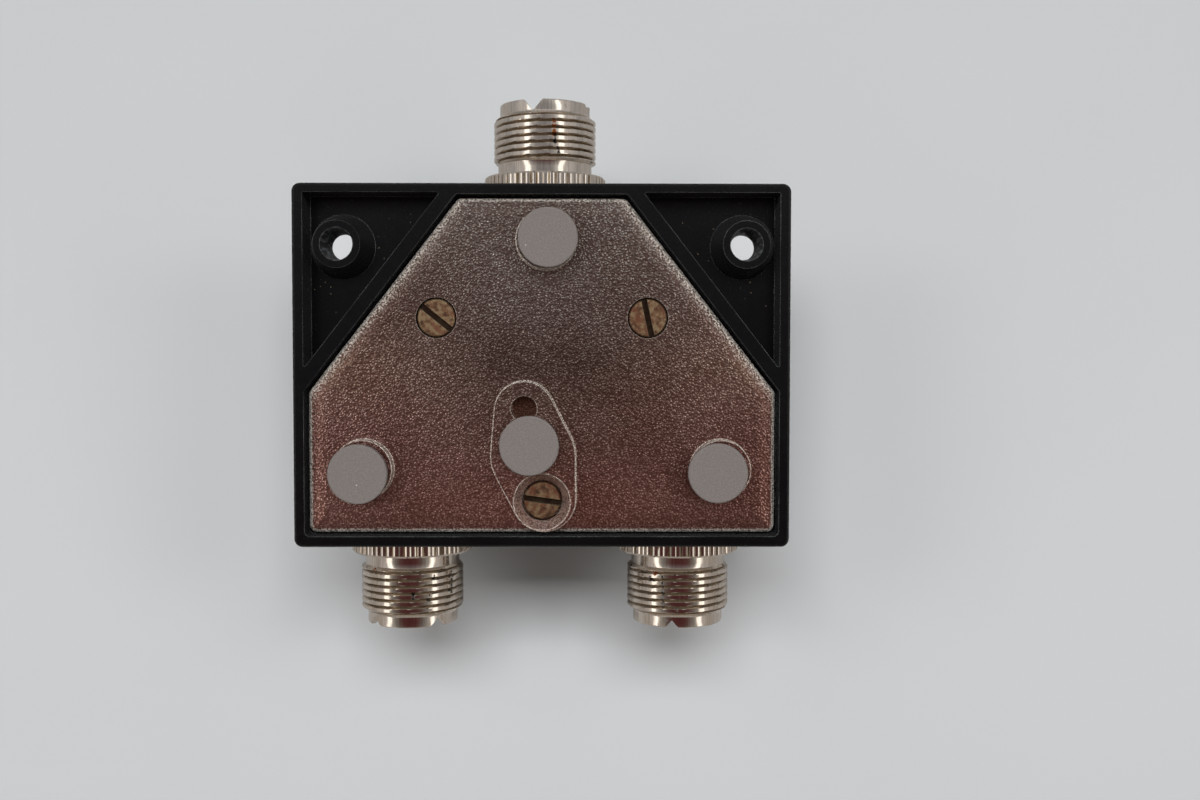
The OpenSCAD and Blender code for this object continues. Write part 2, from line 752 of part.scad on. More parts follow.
module live_rivets() {
    color("#b08a50") turned(rest_angle) for (x = rivet_places) translate([x, 0, 0]) {
        disc(rivet_d - 2 * seat_gap, live_z, hub_z + rivet_head_t);
        disc(rivet_head_d, hub_z + seat_gap, hub_z + rivet_head_t);
    }
}

module ground_plate() {
    color("#b9b4aa") turned(rest_angle) difference() {
        union() {
            disc(shaft_d + 2 * washer_rim, ground_z, ground_z + strip_t);
            for (side = [-1, 1]) rotate([0, 0, side * throw_angle]) {
                translate([0, -arm_w / 2, ground_z]) cube([arm_reach, arm_w, strip_t]);
                translate([arm_reach - strip_t, -arm_w / 2, live_z])
                    cube([strip_t, arm_w, ground_z + strip_t - live_z]);
            }
        }
        disc(shaft_d + 2 * seat_gap, ground_z - cut, ground_z + strip_t + cut);
    }
}

module rotor_screw() {
    color("#a8a49d") on_shaft() difference() {
        union() {
            disc(shaft_d - 2 * seat_gap, live_z - seat_gap - rotor_head_t, live_z - seat_gap);
            disc(rotor_screw_d - 2 * seat_gap, live_z - cut, live_z + rotor_screw_len);
        }
        rotate([0, 0, rotor_screw_turn])
            translate([-shaft_d / 2, -slot_w / 2, live_z - seat_gap - rotor_head_t - cut])
            cube([shaft_d, slot_w, rotor_head_t / 2 + cut]);
    }
}

// Knob

insert_d = min(shaft_d + 4, grip_w - 1.6);
flat_y = shaft_d / 2 - 0.8;
set_screw_d = 3;
set_screw_len = 3;
nut_room = (bush_d + 2 * bush_rim) / cos(30) + 1.2;
room_z = front_z + bush_out + 0.6;
set_z = knob_top - 5.5;
grip_len = knob_d - 1.6;
grip_round = 1.2;
grip_lean = 1;
nose_len = 3.4;
// Points of the skirt's side: inset from its edge, height over its foot
skirt_profile = [[0.3, 0], [0, 0.3], [0, 1.2], [0.25, 1.6], [1.6, skirt_h - 0.4], [2.2, skirt_h]];

// Finger grip: a bar that narrows upward and runs to a point at the pointer end
module grip() {
    nose = [grip_len / 2, 0];
    half = grip_w / 2 + grip_lean + 0.1;
    tail = -grip_len / 2 + 0.6;
    outline = [[grip_len / 2 - nose_len, half], [tail, half + 0.4], [tail, -half - 0.4],
        [grip_len / 2 - nose_len, -half], nose];
    loft(outline, grip_round, concat(
        [[0, knob_z + skirt_h - grip_round], [grip_lean, knob_top - grip_round]],
        [for (a = [30, 60, 90])
            [grip_lean + grip_round * (1 - cos(a)), knob_top - grip_round * (1 - sin(a))]]));
}

module knob() {
    color("#1b1b1d") turned(rest_angle) difference() {
        union() {
            rotate_extrude($fn = 96) polygon(concat([[0, knob_z]],
                [for (p = skirt_profile) [knob_d / 2 - p[0], knob_z + p[1]]], [[0, knob_z + skirt_h]]));
            grip();
        }
        disc(nut_room, knob_z - cut, room_z);
        disc(insert_d, knob_z, shaft_top + insert_cap + seat_gap);
        translate([pointer_in, -pointer_w / 2, knob_top - pointer_depth])
            cube([pointer_len, pointer_w, pointer_depth + cut]);
        translate([0, 0, set_z]) rotate([90, 0, 0]) cylinder(d = set_screw_d + 2 * ball_gap, h = knob_d);
    }
}

insert_cap = 0.5;
pointer_in = 1;
pointer_depth = 0.6;
pointer_len = grip_len / 2 - pointer_in - 2.4;

module knob_insert() {
    color("#c6a553") turned(rest_angle) difference() {
        disc(insert_d - 2 * seat_gap, room_z, shaft_top + insert_cap);
        disc(shaft_d + 2 * seat_gap, knob_z, shaft_top + seat_gap);
        translate([0, 0, set_z]) rotate([90, 0, 0]) cylinder(d = set_screw_d, h = knob_d);
    }
}

module knob_set_screw() {
    color("#5b5a57") turned(rest_angle) translate([0, -flat_y - seat_gap, set_z]) rotate([90, 0, 0])
        difference() {
            cylinder(d = set_screw_d - 2 * seat_gap, h = set_screw_len);
            translate([-set_screw_d, -slot_w / 3, set_screw_len - slot_depth])
                cube([2 * set_screw_d, slot_w / 1.5, slot_depth + cut]);
        }
}

module pointer_line() {
    color("#e9e7e0") turned(rest_angle)
        translate([pointer_in + seat_gap, -pointer_w / 2 + seat_gap, knob_top - pointer_depth])
            cube([pointer_len - 2 * seat_gap, pointer_w - 2 * seat_gap, pointer_depth - 0.1]);
}

housing();
back_cover();
cover_screw(1);  // cover_screw_left
cover_screw(0);  // cover_screw_right
cover_screw(2);  // cover_screw_lower
foot(upper_foot);  // foot_upper
foot(middle_foot);  // foot_middle
foot([-side_boss_x, side_boss_y] + side_foot_shift[0]);  // foot_left
foot([side_boss_x, side_boss_y] + side_foot_shift[1]);  // foot_right
jack_shell(0);  // common_jack_shell
jack_shell(1);  // port_1_jack_shell
jack_shell(2);  // port_2_jack_shell
jack_insulator(0);  // common_jack_insulator
jack_insulator(1);  // port_1_jack_insulator
jack_insulator(2);  // port_2_jack_insulator
jack_contact(0);  // common_jack_contact
jack_contact(1);  // port_1_jack_contact
jack_contact(2);  // port_2_jack_contact
jack_nut(0);  // common_jack_nut
jack_nut(1);  // port_1_jack_nut
jack_nut(2);  // port_2_jack_nut
common_strap();
port_fixed_contact(1);  // port_1_fixed_contact
port_fixed_contact(2);  // port_2_fixed_contact
shaft_bush();
bush_nut();
detent_ball();
detent_spring();
stop_pins();
shaft();
shaft_clip();
thrust_washer();
index_plate();
rotor_disc();
live_arm();
live_rivets();
ground_plate();
rotor_screw();
knob();
knob_insert();
knob_set_screw();
pointer_line();
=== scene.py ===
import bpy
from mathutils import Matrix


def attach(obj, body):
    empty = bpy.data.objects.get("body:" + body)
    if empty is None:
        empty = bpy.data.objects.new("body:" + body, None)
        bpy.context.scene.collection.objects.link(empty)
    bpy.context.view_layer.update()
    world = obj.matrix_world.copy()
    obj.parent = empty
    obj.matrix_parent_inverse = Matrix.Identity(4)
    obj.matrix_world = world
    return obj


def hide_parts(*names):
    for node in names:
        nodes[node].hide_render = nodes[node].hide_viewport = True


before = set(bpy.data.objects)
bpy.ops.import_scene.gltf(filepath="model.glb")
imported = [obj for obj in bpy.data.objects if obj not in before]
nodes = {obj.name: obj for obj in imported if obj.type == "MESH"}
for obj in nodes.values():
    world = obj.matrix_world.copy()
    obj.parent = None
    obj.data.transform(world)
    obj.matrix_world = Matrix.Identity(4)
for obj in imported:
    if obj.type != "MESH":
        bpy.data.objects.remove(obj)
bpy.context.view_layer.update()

import math
import random

import bpy
from mathutils import Matrix, Vector, noise

mm = 0.001
print("frame loaded:", len(nodes), "nodes")


def toLinear(hexColour):
    values = [int(hexColour[i:i + 2], 16) / 255 for i in (1, 3, 5)]
    return [v / 12.92 if v <= 0.04045 else ((v + 0.055) / 1.055) ** 2.4 for v in values] + [1.0]


def perMm(size):              # texture scale for a feature of this many millimetres
    return 1 / (size * mm)


def addNode(material, kind, inputs=None, ramp=None, **settings):
    tree = material.node_tree
    node = tree.nodes.new("ShaderNode" + kind)
    for name, value in settings.items():
        setattr(node, name, value)
    if ramp:
        stops = node.color_ramp.elements
        for i, (place, colour) in enumerate(ramp):
            stop = stops[i] if i < 2 else stops.new(place)
            stop.position = place
            stop.color = toLinear(colour)
    for socket, value in (inputs or {}).items():
        if isinstance(value, tuple):
            tree.links.new(value[0].outputs[value[1]], node.inputs[socket])
        elif isinstance(value, str):
            node.inputs[socket].default_value = toLinear(value)
        else:
            node.inputs[socket].default_value = value
    return node


def newMaterial(name, **sockets):
    material = bpy.data.materials.new(name)
    material.use_nodes = True
    shader = material.node_tree.nodes["Principled BSDF"]
    for socket, value in sockets.items():
        shader.inputs[socket.replace("_", " ")].default_value = value
    return material, shader


def feed(material, shader, socket, source, output=0):
    material.node_tree.links.new(source.outputs[output], shader.inputs[socket])


def dress(material, *names):
    for name in names:
        for slot in nodes[name].material_slots:
            slot.material = material


def howFar(material, place, point):       # distance from a point that is given in millimetres
    away = addNode(material, "VectorMath", {0: place, 1: [c * mm for c in point]}, operation="DISTANCE")
    return away, "Value"


# Housing and cover have holes and edges that mirror across the middle, so their patterns also
# use the place folded there. part holds |x| and |y|, whole holds x, y and z, folded is (|x|, y, 0)
def foldedPlace(material, place):
    flipped = addNode(material, "VectorMath", {0: place}, operation="ABSOLUTE")
    part = addNode(material, "SeparateXYZ", {0: (flipped, 0)})
    whole = addNode(material, "SeparateXYZ", {0: place})
    folded = addNode(material, "CombineXYZ", {0: (part, 0), 1: (whole, 1)})
    return part, whole, (folded, 0)


# An edge is where the rounded normal turns away from the flat one. Its line is partly wear and
# partly a painted highlight on the rounded edge. edgeTurn holds the cosines at which that line
# starts and is full
def edgeWearAndHighlight(material, look, strength):
    rounded = addNode(material, "Bevel", {"Radius": look["edgeWidth"] * mm}, samples=6)
    flat = addNode(material, "NewGeometry")
    turn = addNode(material, "VectorMath", {0: (rounded, 0), 1: (flat, "True Normal")},
                   operation="DOT_PRODUCT")
    start, full = look["edgeTurn"]
    edge = addNode(material, "MapRange", {0: (turn, "Value"), 1: start, 2: full, 3: 0.0, 4: strength})
    return rounded, edge


# Zinc die casting under satin black paint: nearly black, a soft sheen, faint orange peel. Edges
# carry a thin grey line, partly rubbed paint and partly a painted highlight, brown dust lies in
# clusters on the floors of the corner pockets, and screws have scraped the walls of the two
# mounting holes to dull grey streaks
paintLook = {"colour": "#07080A", "dusty": "#0B0C0D", "edge": "#74787B", "dust": "#6A5D4A",
             "scraped": "#6A7074", "peel": 0.9, "peelDepth": 0.012, "cloud": 7, "speck": 0.8,
             "speckR": 0.14, "cluster": 4, "streak": 0.5, "edgeWidth": 0.18, "edgeTurn": (0.96, 0.78),
             "roughness": 0.24, "scrapedRoughness": 0.7, "floorZ": 7.65, "floorSlack": 0.25,
             "holeAt": (30, 17.8, 0), "holeR": 2.46}


def pocketDust(material, place, whole):      # how dusty: specks of mixed size that gather in clusters
    look = paintLook
    speck = addNode(material, "TexVoronoi", {"Vector": place, "Scale": perMm(look["speck"])})
    pick = addNode(material, "SeparateColor", {0: (speck, "Color")})
    size = addNode(material, "MapRange", {0: (pick, 0), 1: 0.5, 2: 1.0, 3: 0.0,
                                          4: look["speckR"] / look["speck"]})
    inside = addNode(material, "Math", {0: (speck, "Distance"), 1: (size, 0)}, operation="LESS_THAN")
    cluster = addNode(material, "TexNoise", {"Vector": place, "Scale": perMm(look["cluster"]), "Detail": 2})
    gathered = addNode(material, "MapRange", {0: (cluster, 0), 1: 0.42, 2: 0.62, 3: 0.1, 4: 1.0})
    onFloor = addNode(material, "Math", {0: (whole, 2), 1: look["floorZ"] * mm, 2: look["floorSlack"] * mm},
                      operation="COMPARE")
    kept = addNode(material, "Math", {0: (inside, 0), 1: (onFloor, 0)}, operation="MULTIPLY")
    return addNode(material, "Math", {0: (kept, 0), 1: (gathered, 0)}, operation="MULTIPLY")


def holeScrapes(material, place, folded):      # the walls of the mounting holes, and the streaks on them
    look = paintLook
    inHole = addNode(material, "MapRange", {0: howFar(material, folded, look["holeAt"]),
                                            1: (look["holeR"] + 0.05) * mm, 2: (look["holeR"] - 0.1) * mm,
                                            3: 0.0, 4: 1.0})
    drawn = addNode(material, "Mapping", {"Vector": place, "Scale": [1, 1, 0.25]})
    streak = addNode(material, "TexNoise", {"Vector": (drawn, 0), "Scale": perMm(look["streak"]),
                                            "Detail": 3})
    streakCut = addNode(material, "MapRange", {0: (streak, 0), 1: 0.46, 2: 0.66, 3: 0.0, 4: 0.9})
    return inHole, addNode(material, "Math", {0: (inHole, 0), 1: (streakCut, 0)}, operation="MULTIPLY")


def satinPaint():
    look = paintLook
    material, shader = newMaterial("satin_black_paint_on_zinc", Specular_IOR_Level=0.28, Sheen_Weight=0.03,
                                   Sheen_Roughness=0.5)
    place = (addNode(material, "TexCoord"), "Object")
    _, whole, folded = foldedPlace(material, place)
    cloud = addNode(material, "TexNoise", {"Vector": place, "Scale": perMm(look["cloud"]), "Detail": 4})
    base = addNode(material, "ValToRGB", {"Fac": (cloud, 0)},
                   ramp=[(0.4, look["colour"]), (0.75, look["dusty"])])
    dust = pocketDust(material, place, whole)
    dusted = addNode(material, "Mix", {0: (dust, 0), 6: (base, 0), 7: look["dust"]}, data_type="RGBA")
    inHole, scrapes = holeScrapes(material, place, folded)
    scraped = addNode(material, "Mix", {0: (scrapes, 0), 6: (dusted, 2), 7: look["scraped"]},
                      data_type="RGBA")
    # the thin grey edge line: rubbed paint and a painted highlight on the rounded edges
    rounded, edge = edgeWearAndHighlight(material, look, 1.0)
    chipped = addNode(material, "MapRange", {0: (cloud, 0), 1: 0.35, 2: 0.6, 3: 0.2, 4: 1.0})
    worn = addNode(material, "Math", {0: (edge, 0), 1: (chipped, 0)}, operation="MULTIPLY")
    edged = addNode(material, "Mix", {0: (worn, 0), 6: (scraped, 2), 7: look["edge"]}, data_type="RGBA")
    feed(material, shader, "Base Color", edged, 2)
    peel = addNode(material, "TexNoise", {"Vector": place, "Scale": perMm(look["peel"]), "Detail": 2})
    gloss = addNode(material, "MapRange", {0: (peel, 0), 1: 0.3, 2: 0.7, 3: look["roughness"] - 0.04,
                                           4: look["roughness"] + 0.06})
    rough = addNode(material, "Mix", {0: (inHole, 0), 2: (gloss, 0), 3: look["scrapedRoughness"]})
    feed(material, shader, "Roughness", rough)
    bump = addNode(material, "Bump", {"Height": (peel, 0), "Distance": look["peelDepth"] * mm,
                                      "Strength": 0.5, "Normal": (rounded, 0)})
    feed(material, shader, "Normal", bump)
    return material


# Leather-grained zinc casting under dull brown nickel: every grain is a small rounded mirror,
# so the plate glitters, and the grain's colour adds a painted glint on its crests and painted
# shade in its pits. A painted reflection of the room tints it greyer at the top, darkest in the
# middle and redder below. The plate falls away toward its outline, where the grain is painted
# pale as a painted highlight. Walls and edges are rubbed bare and speckled, their pale line
# partly wear and partly painted highlight, but quieter round the screws and the blind hole, and
# the blind hole is painted darker as painted shade. Some of the real grain is too fine to show,
# so the grain is drawn a little coarser. slant points across the slanted edges; they lie
# slantAt from the middle, the others sideAt and endAt
coverLook = {"pit": "#92766C", "mid": "#BEA499", "crest": "#E9DCD1", "bareAndHighlit": "#F1E8DB",
             "wallDark": "#6A5E56", "wallPale": "#EFE6DA", "deep": "#755548", "clouded": "#DDD2CC",
             "grain": 0.27, "cloud": 11, "depth": 0.085, "metallic": 0.95, "bareMetallic": 0.35,
             "roughness": 0.27, "edgeWidth": 0.3, "edgeTurn": (0.99, 0.93),
             "slant": (0.7898, 0.6135, 0), "slantAt": 24.8, "sideAt": 34.4, "endAt": 24.6,
             "fall": 2.6, "drop": 0.32, "highlightBandSlant": (0.35, 1.5), "highlightBandStraight": (0.2, 0.7),
             "screwAt": (15.59, 7.1, 0), "screwQuiet": (3.1, 3.6), "lowAt": (0, -19.9, 0),
             "lowQuiet": (4.4, 4.7), "holeAt": (2.6, -6.27, 0), "holeQuiet": (2.2, 2.6), "holeR": 1.88,
             "reflectionY": (-22, 22), "reflectionX": (6, 24), "calmY": (-20, -6),
             "film": [(0.05, "#FFE1E0"), (0.25, "#DBCED0"), (0.5, "#B5B6BB"), (0.7, "#C8D1D8"),
                      (0.95, "#DCEEF7")],
             "reflectionSide": [(0.05, "#F0D7D8"), (0.25, "#E1CBCE"), (0.5, "#E2DCD8"), (0.7, "#C8C8CE"),
                          (0.95, "#DCEEF7")]}


def edgeDistance(material, part, folded):     # how far a point lies inside the plate's outline, in metres
    look = coverLook
    along = addNode(material, "VectorMath", {0: folded, 1: list(look["slant"])}, operation="DOT_PRODUCT")
    toSlant = addNode(material, "Math", {0: look["slantAt"] * mm, 1: (along, "Value")}, operation="SUBTRACT")
    toSide = addNode(material, "Math", {0: look["sideAt"] * mm, 1: (part, 0)}, operation="SUBTRACT")
    toEnd = addNode(material, "Math", {0: look["endAt"] * mm, 1: (part, 1)}, operation="SUBTRACT")
    nearer = addNode(material, "Math", {0: (toSlant, 0), 1: (toSide, 0)}, operation="MINIMUM")
    return addNode(material, "Math", {0: (nearer, 0), 1: (toEnd, 0)}, operation="MINIMUM"), toSlant


def leatherGrain(material, place):      # fine noise between soft cells that are a little wider
    grain = addNode(material, "TexNoise", {"Vector": place, "Scale": perMm(coverLook["grain"]),
                                           "Detail": 1.5, "Roughness": 0.5})
    cells = addNode(material, "TexVoronoi", {"Vector": place, "Scale": perMm(coverLook["grain"] * 1.15),
                                             "Smoothness": 0.5}, feature="SMOOTH_F1")
    return grain, addNode(material, "Math", {0: (grain, 0), 1: (cells, "Distance")}, operation="SUBTRACT")


def reflectionTintedTone(material, place, part, whole, height):      # the grain's tone in soft clouds, tinted by a painted reflection of the room
    look = coverLook
    # paler crests are a painted glint, darker pits a painted shade
    tone = addNode(material, "ValToRGB", {"Fac": (height, 0)},
                   ramp=[(0.0, look["pit"]), (0.14, look["mid"]), (0.4, look["crest"])])
    cloud = addNode(material, "TexNoise", {"Vector": place, "Scale": perMm(look["cloud"]), "Detail": 3})
    worn = addNode(material, "ValToRGB", {"Fac": (cloud, 0)},
                   ramp=[(0.35, look["clouded"]), (0.65, "#FFFFFF")])
    clouded = addNode(material, "Mix", {0: 0.8, 6: (tone, 0), 7: (worn, 0)}, data_type="RGBA",
                      blend_type="MULTIPLY")
    # painted reflection of the room: redder below, greyer above, mixed toward the sides
    below, above = look["reflectionY"]
    upward = addNode(material, "MapRange", {0: (whole, 1), 1: below * mm, 2: above * mm})
    near, far = look["reflectionX"]
    sideward = addNode(material, "MapRange", {0: (part, 0), 1: near * mm, 2: far * mm})
    film = addNode(material, "ValToRGB", {"Fac": (upward, 0)}, ramp=look["film"])
    reflectionSide = addNode(material, "ValToRGB", {"Fac": (upward, 0)}, ramp=look["reflectionSide"])
    reflectionTinted = addNode(material, "Mix", {0: (sideward, 0), 6: (film, 0), 7: (reflectionSide, 0)}, data_type="RGBA")
    return addNode(material, "Mix", {0: 1.0, 6: (clouded, 2), 7: (reflectionTinted, 2)}, data_type="RGBA",
                   blend_type="MULTIPLY")


def quieterBy(material, place, point, ring, least):      # wear drops to least inside a ring round a point
    return addNode(material, "MapRange", {0: howFar(material, place, point), 1: ring[0] * mm,
                                          2: ring[1] * mm, 3: least, 4: 1.0})


def bareMetalAndHighlights(material, part, whole, folded, grain, edge):      # pale edge lines of wear and painted highlight, dotted bare walls, and a painted highlight band near the outline
    look = coverLook
    flatPlace = (addNode(material, "CombineXYZ", {0: (whole, 0), 1: (whole, 1)}), 0)
    byScrew = quieterBy(material, folded, look["screwAt"], look["screwQuiet"], 0.25)
    byHole = quieterBy(material, flatPlace, look["holeAt"], look["holeQuiet"], 0.5)
    byLow = quieterBy(material, flatPlace, look["lowAt"], look["lowQuiet"], 0.45)
    quiet = addNode(material, "Math", {0: (byScrew, 0), 1: (byHole, 0)}, operation="MULTIPLY")
    broken = addNode(material, "MapRange", {0: (grain, 0), 1: 0.4, 2: 0.48, 3: 0.35, 4: 1.0})
    whiter = addNode(material, "Math", {0: (edge, 0), 1: (broken, 0)}, operation="MULTIPLY")
    line = addNode(material, "Math", {0: (whiter, 0), 1: (quiet, 0)}, operation="MULTIPLY")
    flat = addNode(material, "NewGeometry")
    facing = addNode(material, "SeparateXYZ", {0: (flat, "True Normal")})
    slope = addNode(material, "MapRange", {0: (facing, 2), 1: -0.9, 2: -0.75, 3: 0.0, 4: 1.0})
    dimmed = addNode(material, "Math", {0: (byLow, 0), 1: (quiet, 0)}, operation="MULTIPLY")
    sloped = addNode(material, "Math", {0: (slope, 0), 1: (dimmed, 0)}, operation="MULTIPLY")
    dotted = addNode(material, "MapRange", {0: (grain, 0), 1: 0.4, 2: 0.58})
    inside, toSlant = edgeDistance(material, part, folded)
    # the pale dotted band near the outline is a painted highlight where the plate rounds off
    outer, inner = look["highlightBandSlant"]
    slanted = addNode(material, "MapRange", {0: (toSlant, 0), 1: outer * mm, 2: inner * mm, 3: 1.0, 4: 0.0})
    outer, inner = look["highlightBandStraight"]
    straight = addNode(material, "MapRange", {0: (inside, 0), 1: outer * mm, 2: inner * mm, 3: 0.9, 4: 0.0})
    highlightBand = addNode(material, "Math", {0: (slanted, 0), 1: (straight, 0)}, operation="MAXIMUM")
    highlightBandDots = addNode(material, "Math", {0: (highlightBand, 0), 1: (dotted, 0)}, operation="MULTIPLY")
    wall = addNode(material, "Math", {0: (sloped, 0), 1: (highlightBandDots, 0)}, operation="MAXIMUM")
    return line, wall, dotted, inside, flatPlace


def leatherCastNickel():
    look = coverLook
    material, shader = newMaterial("leather_cast_dull_nickel")
    place = (addNode(material, "TexCoord"), "Object")
    part, whole, folded = foldedPlace(material, place)
    grain, height = leatherGrain(material, place)
    toned = reflectionTintedTone(material, place, part, whole, height)
    rounded, edge = edgeWearAndHighlight(material, look, 1.0)
    line, wall, dotted, inside, flatPlace = bareMetalAndHighlights(material, part, whole, folded, grain, edge)
    wallTone = addNode(material, "Mix", {0: (dotted, 0), 6: look["wallDark"], 7: look["wallPale"]},
                       data_type="RGBA")
    walled = addNode(material, "Mix", {0: (wall, 0), 6: (toned, 2), 7: (wallTone, 2)}, data_type="RGBA")
    # the pale edge line: wear and a painted highlight
    edged = addNode(material, "Mix", {0: (line, 0), 6: (walled, 2), 7: look["bareAndHighlit"]}, data_type="RGBA")
    # the blind hole is painted darker brown: painted shade in the recess
    inHole = addNode(material, "Math", {0: howFar(material, flatPlace, look["holeAt"]),
                                        1: look["holeR"] * mm}, operation="LESS_THAN")
    sunk = addNode(material, "Mix", {0: (inHole, 0), 6: (edged, 2), 7: look["deep"]}, data_type="RGBA")
    feed(material, shader, "Base Color", sunk, 2)
    bareAndHighlit = addNode(material, "Math", {0: (wall, 0), 1: (line, 0)}, operation="MAXIMUM")
    metal = addNode(material, "MapRange", {0: (bareAndHighlit, 0), 3: look["metallic"], 4: look["bareMetallic"]})
    feed(material, shader, "Metallic", metal)
    rough = addNode(material, "MapRange", {0: (height, 0), 1: 0.0, 2: 0.35, 3: look["roughness"] + 0.12,
                                           4: look["roughness"] - 0.04})
    feed(material, shader, "Roughness", rough)
    inward = addNode(material, "MapRange", {0: (inside, 0), 1: 0.0, 2: look["fall"] * mm, 3: 0.0, 4: 1.0},
                     interpolation_type="SMOOTHSTEP")
    fallen = addNode(material, "Bump", {"Height": (inward, 0), "Distance": look["drop"] * mm, "Strength": 1.0,
                                        "Normal": (rounded, 0)})
    low, high = look["calmY"]
    calmer = addNode(material, "MapRange", {0: (whole, 1), 1: low * mm, 2: high * mm, 3: 0.72, 4: 0.95})
    bump = addNode(material, "Bump", {"Height": (height, 0), "Distance": look["depth"] * mm,
                                      "Strength": (calmer, 0), "Normal": (fallen, 0)})
    feed(material, shader, "Normal", bump)
    return material


# Bright nickel plating on turned brass: warm grey mirror with fine lines along it, olive-brown
# tarnish where the attribute "root" says that a cloth never reaches, and rust and black spots
# where the attributes "rust" and "stain" place them
nickelLook = {"bright": "#E0D9D0", "tarnish": "#A38F74", "deep": "#6A583F", "rust": "#7E4218",
              "stain": "#1E1610", "streak": 0.25, "streakDepth": 0.004, "patch": 2.5, "fleck": 1.0,
              "roughness": 0.14, "dullRoughness": 0.42, "dullMetallic": 0.4}


def brightNickel():
    look = nickelLook
    material, shader = newMaterial("bright_nickel_on_brass")
    place = (addNode(material, "TexCoord"), "Object")
    root = addNode(material, "Attribute", attribute_name="root")
    rust = addNode(material, "Attribute", attribute_name="rust")
    stain = addNode(material, "Attribute", attribute_name="stain")
    patch = addNode(material, "TexNoise", {"Vector": place, "Scale": perMm(look["patch"]), "Detail": 4})
    lifted = addNode(material, "Math", {0: (patch, 0), 1: 0.4}, operation="ADD")
    brown = addNode(material, "Math", {0: (root, "Fac"), 1: (lifted, 0)}, operation="MULTIPLY")
    tone = addNode(material, "ValToRGB", {"Fac": (brown, 0)},
                   ramp=[(0.35, look["bright"]), (0.75, look["tarnish"]), (1.0, look["deep"])])
    drawn = addNode(material, "Mapping", {"Vector": place, "Scale": [1, 0.07, 1]})
    streak = addNode(material, "TexNoise", {"Vector": (drawn, 0), "Scale": perMm(look["streak"]),
                                            "Detail": 2})
    faded = addNode(material, "MapRange", {0: (streak, 0), 1: 0.35, 2: 0.65, 3: 0.8, 4: 1.0})
    streaked = addNode(material, "VectorMath", {0: (tone, 0), "Scale": (faded, 0)}, operation="SCALE")
    fleck = addNode(material, "TexNoise", {"Vector": place, "Scale": perMm(look["fleck"]), "Detail": 3})
    fleckCut = addNode(material, "MapRange", {0: (fleck, 0), 1: 0.72, 2: 0.76, 3: 0.0, 4: 0.85})
    flecked = addNode(material, "Mix", {0: (fleckCut, 0), 6: (streaked, 0), 7: look["stain"]},
                      data_type="RGBA")
    rusted = addNode(material, "Mix", {0: (rust, "Fac"), 6: (flecked, 2), 7: look["rust"]}, data_type="RGBA")
    stained = addNode(material, "Mix", {0: (stain, "Fac"), 6: (rusted, 2), 7: look["stain"]},
                      data_type="RGBA")
    feed(material, shader, "Base Color", stained, 2)
    spots = addNode(material, "Math", {0: (rust, "Fac"), 1: (stain, "Fac")}, operation="MAXIMUM")
    marks = addNode(material, "Math", {0: (spots, 0), 1: (fleckCut, 0)}, operation="MAXIMUM")
    film = addNode(material, "MapRange", {0: (brown, 0), 1: 0.4, 2: 1.0, 3: 0.0, 4: 0.8})
    dull = addNode(material, "Math", {0: (film, 0), 1: (marks, 0)}, operation="MAXIMUM")
    metal = addNode(material, "MapRange", {0: (dull, 0), 3: 1.0, 4: look["dullMetallic"]})
    feed(material, shader, "Metallic", metal)
    rough = addNode(material, "MapRange", {0: (dull, 0), 3: look["roughness"], 4: look["dullRoughness"]})
    feed(material, shader, "Roughness", rough)
    bump = addNode(material, "Bump", {"Height": (streak, 0), "Distance": look["streakDepth"] * mm,
                                      "Strength": 0.5})
    feed(material, shader, "Normal", bump)
    return material


# Aged brass screw: red-brown patina in small patches, painted shade on the floor of the slot,
# pale thin lines on the edges, partly rubbed by the driver and partly painted highlight
screwLook = {"brass": "#B29A78", "patina": "#8A6850", "dark": "#5E4A3A", "red": "#8E5A46", "worn": "#D0C0A0",
             "slotShade": "#2A2019", "patch": 0.7, "patchDepth": 0.02, "spot": 1.3, "edgeWidth": 0.1,
             "edgeTurn": (0.98, 0.85), "roughness": 0.36, "darkRoughness": 0.58, "slotZ": (3.3, 3.7)}


def agedBrass():
    look = screwLook
    material, shader = newMaterial("aged_brass_patina", Metallic=0.8)
    place = (addNode(material, "TexCoord"), "Object")
    patch = addNode(material, "TexNoise", {"Vector": place, "Scale": perMm(look["patch"]), "Detail": 5})
    tone = addNode(material, "ValToRGB", {"Fac": (patch, 0)},
                   ramp=[(0.34, look["dark"]), (0.46, look["patina"]), (0.6, look["brass"])])
    spot = addNode(material, "TexNoise", {"Vector": place, "Scale": perMm(look["spot"]), "Detail": 3})
    spotCut = addNode(material, "MapRange", {0: (spot, 0), 1: 0.52, 2: 0.62, 3: 0.0, 4: 0.7})
    reddened = addNode(material, "Mix", {0: (spotCut, 0), 6: (tone, 0), 7: look["red"]}, data_type="RGBA")
    # the floor of the slot is painted dark: painted shade
    sunk = addNode(material, "SeparateXYZ", {0: place})
    above, below = look["slotZ"]
    slotShade = addNode(material, "MapRange", {0: (sunk, 2), 1: above * mm, 2: below * mm, 3: 0.0, 4: 0.9})
    slotShaded = addNode(material, "Mix", {0: (slotShade, 0), 6: (reddened, 2), 7: look["slotShade"]}, data_type="RGBA")
    # pale edge line: driver wear and a painted highlight
    rounded, edge = edgeWearAndHighlight(material, look, 0.8)
    edged = addNode(material, "Mix", {0: (edge, 0), 6: (slotShaded, 2), 7: look["worn"]}, data_type="RGBA")
    feed(material, shader, "Base Color", edged, 2)
    rough = addNode(material, "MapRange", {0: (patch, 0), 1: 0.3, 2: 0.7, 3: look["darkRoughness"],
                                           4: look["roughness"]})
    feed(material, shader, "Roughness", rough)
    bump = addNode(material, "Bump", {"Height": (patch, 0), "Distance": look["patchDepth"] * mm,
                                      "Strength": 0.6, "Normal": (rounded, 0)})
    feed(material, shader, "Normal", bump)
    return material


# Closed-cell foam rubber: matt warm grey, powdery, with a few white lint specks
footLook = {"dark": "#78716D", "colour": "#827B76", "pale": "#8C8580", "lint": "#CFCAC4", "cell": 0.22,
            "cellDepth": 0.02, "lintCell": 3, "lintR": 0.11, "roughness": 0.85}


